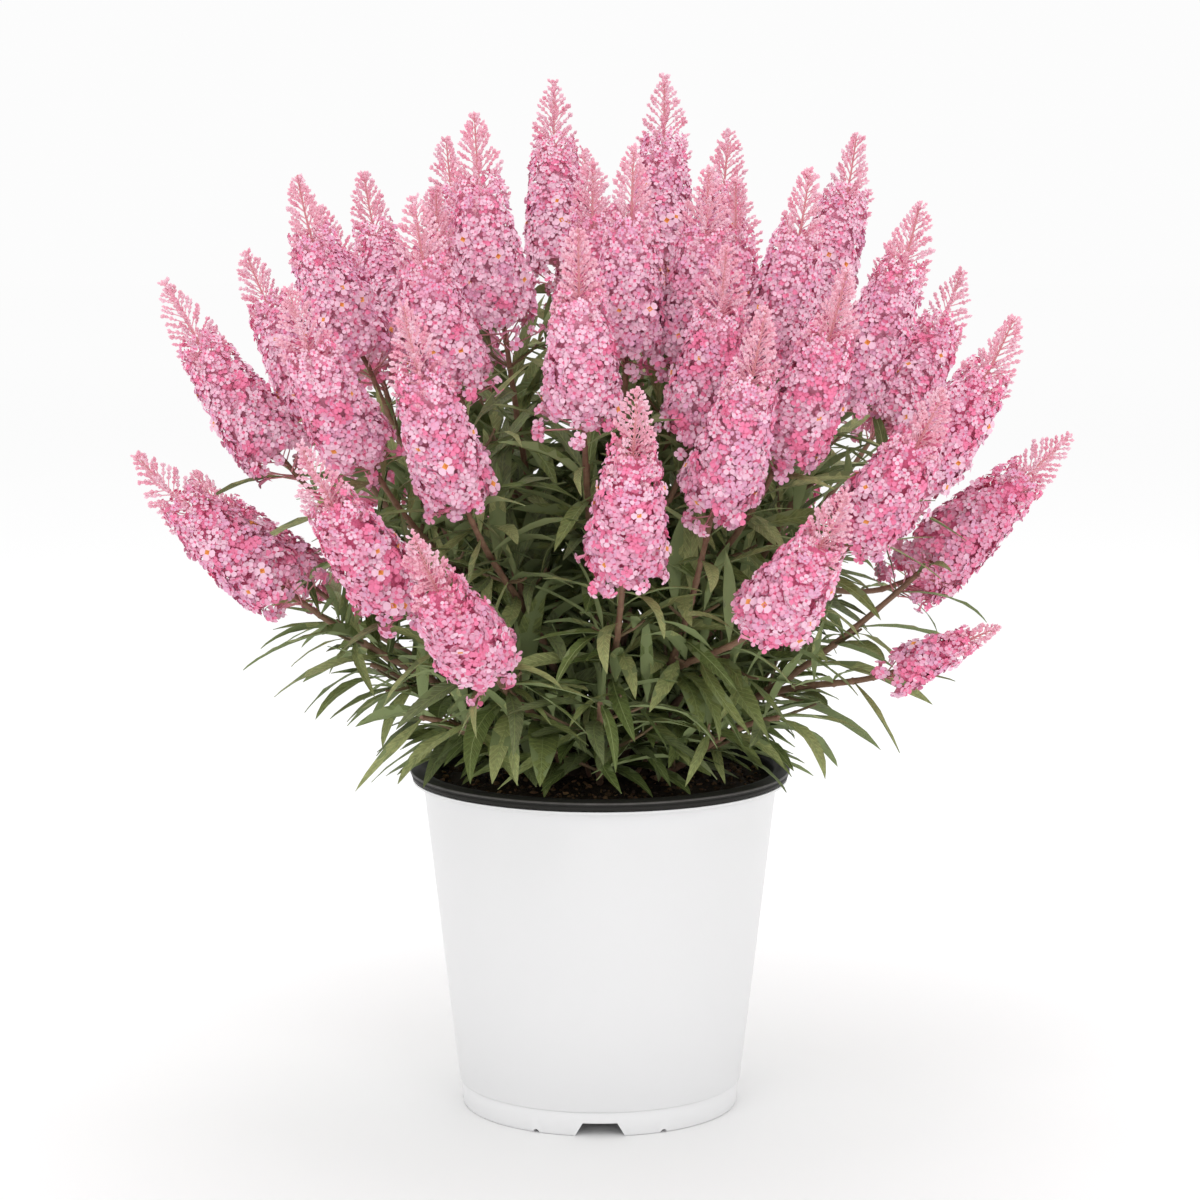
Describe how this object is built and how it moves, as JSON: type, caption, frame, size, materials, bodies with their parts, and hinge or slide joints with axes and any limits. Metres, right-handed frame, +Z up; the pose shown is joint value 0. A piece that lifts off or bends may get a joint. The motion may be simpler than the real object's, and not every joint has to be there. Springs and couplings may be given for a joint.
{
  "type": "potted butterfly bush",
  "caption": "Flowering butterfly bush in a round nursery pot: a dome of upright pink flower spikes over narrow arching leaves.",
  "frame": {"origin": "middle of the pot's underside, at ground level", "axes": "+Z up the bush; the pictured front faces -Y; +X to the viewer's right"},
  "size_m": [0.5418, 0.5547, 0.6229],
  "materials": {
    "white_plastic": "satin white moulded plastic",
    "black_plastic": "black rolled rim and inner skin, slightly glossy",
    "potting_mix": "dark moist bark mix",
    "bark": "thin reddish brown bark",
    "flowering": "pink florets over olive green leaves",
    "leafy": "matte olive green leaves"
  },
  "bodies": {
    "root": {"bough_back": "bark", "bough_back_left": "bark", "bough_front": "bark", "bough_front_left": "bark", "bough_front_left_low": "bark", "bough_front_mid": "bark", "bough_front_right": "bark", "bough_left": "bark", "bough_left_low": "bark", "bough_left_mid": "bark", "bough_left_rear_low": "bark", "bough_rear_left": "bark", "bough_rear_low": "bark", "bough_rear_mid": "bark", "bough_rear_right": "bark", "bough_rear_right_low": "bark", "bough_right": "bark", "bough_right_back": "bark", "bough_right_front": "bark", "bough_right_low": "bark", "bough_right_mid": "bark", "bough_top": "bark", "bough_upper_front": "bark", "bough_upper_left": "bark", "crown": "bark", "mass_back": "flowering", "mass_back_left": "flowering", "mass_front": "flowering", "mass_front_left": "flowering", "mass_front_left_low": "flowering", "mass_front_mid": "flowering", "mass_front_right": "flowering", "mass_leafy_1": "leafy", "mass_leafy_2": "leafy", "mass_leafy_3": "leafy", "mass_leafy_4": "leafy", "mass_leafy_5": "leafy", "mass_leafy_6": "leafy", "mass_leafy_7": "leafy", "mass_leafy_8": "leafy", "mass_left": "flowering", "mass_left_low": "flowering", "mass_left_mid": "flowering", "mass_left_rear_low": "flowering", "mass_rear_left": "flowering", "mass_rear_low": "flowering", "mass_rear_mid": "flowering", "mass_rear_right": "flowering", "mass_rear_right_low": "flowering", "mass_right": "flowering", "mass_right_back": "flowering", "mass_right_front": "flowering", "mass_right_low": "flowering", "mass_right_mid": "flowering", "mass_top": "flowering", "mass_upper_front": "flowering", "mass_upper_left": "flowering", "pot_rim": "black_plastic", "pot_wall": "white_plastic", "potting_mix": "potting_mix"}
  },
  "joints": []
}
